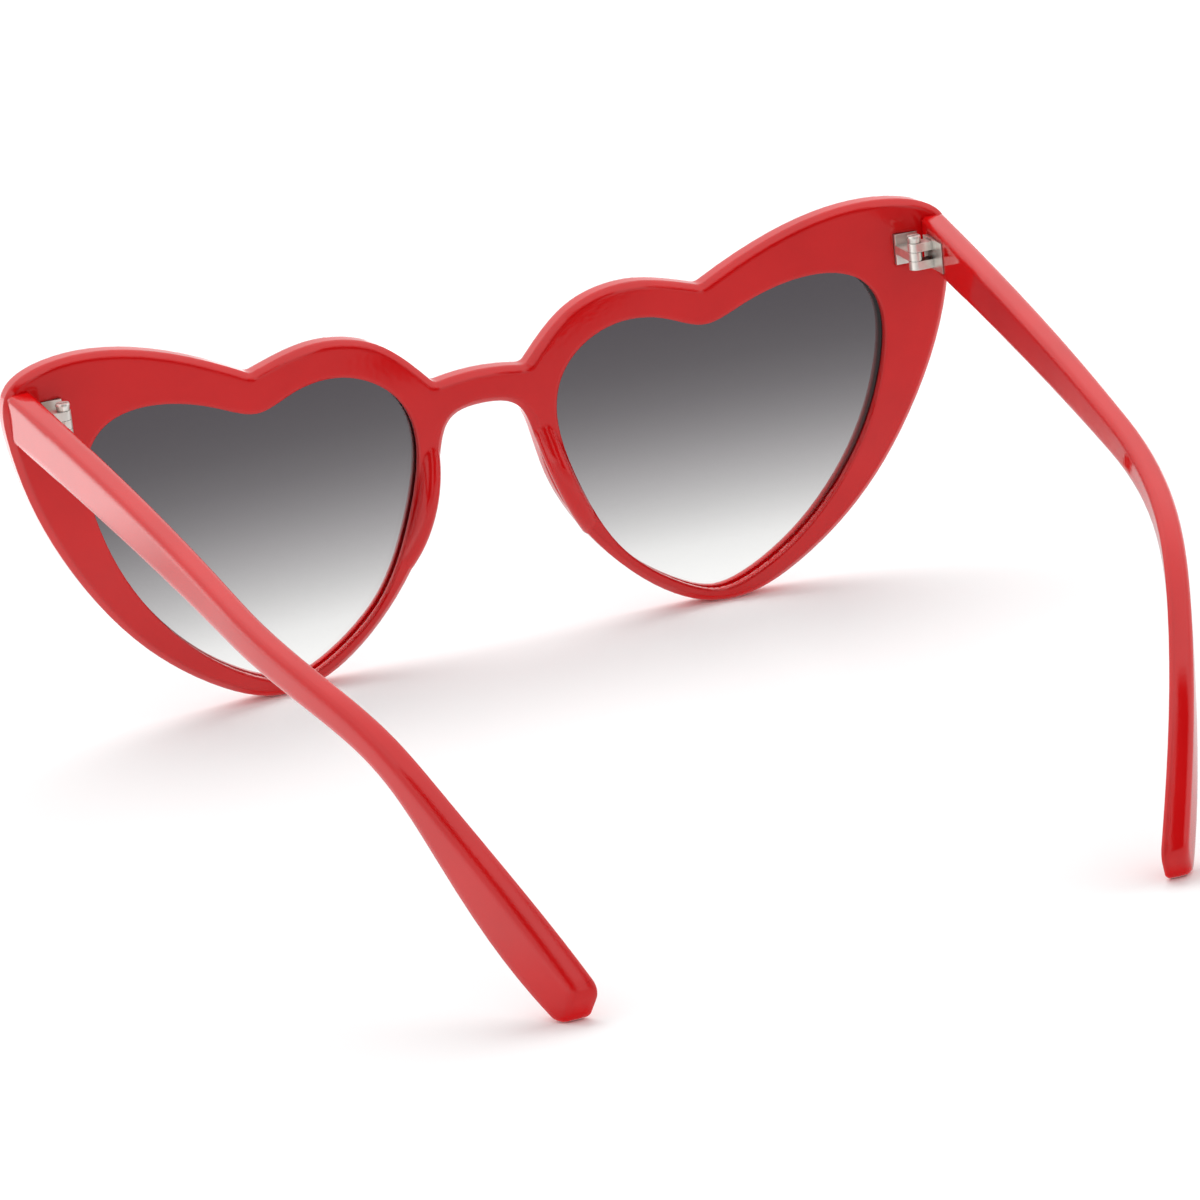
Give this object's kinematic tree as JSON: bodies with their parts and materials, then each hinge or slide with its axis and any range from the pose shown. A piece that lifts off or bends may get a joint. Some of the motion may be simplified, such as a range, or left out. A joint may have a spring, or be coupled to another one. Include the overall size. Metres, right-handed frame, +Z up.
{
  "type": "sunglasses",
  "caption": "Heart-shaped moulded plastic sunglasses with lenses that fade from grey to clear and temples that fold on small screw hinges.",
  "frame": {"origin": "nose saddle: the middle of the bridge's lower edge, on the side of the face", "axes": "+X to the wearer's left, +Y back along the temples, +Z up"},
  "size_m": [0.1458, 0.1469, 0.0578],
  "materials": {
    "red_plastic": "polished",
    "lens_tint": "polished, grey fading to clear",
    "nickel": "bright nickel"
  },
  "bodies": {
    "front": {"front_frame": "red_plastic", "lens_left": "lens_tint", "lens_right": "lens_tint", "front_hinge_left": "nickel", "front_hinge_right": "nickel"},
    "left_temple": {"temple_left": "red_plastic", "temple_hinge_left": "nickel", "hinge_screw_left": "nickel"},
    "right_temple": {"temple_right": "red_plastic", "temple_hinge_right": "nickel", "hinge_screw_right": "nickel"}
  },
  "joints": [
    {"name": "temple_left_fold", "type": "hinge", "parent": "front", "child": "left_temple", "pos_m": [0.0653, 0.01091, 0.0127], "axis": [0, 0, 1], "range_deg": [0, 83]},
    {"name": "temple_right_fold", "type": "hinge", "parent": "front", "child": "right_temple", "pos_m": [-0.0653, 0.01091, 0.0127], "axis": [0, 0, -1], "range_deg": [0, 77]}
  ]
}
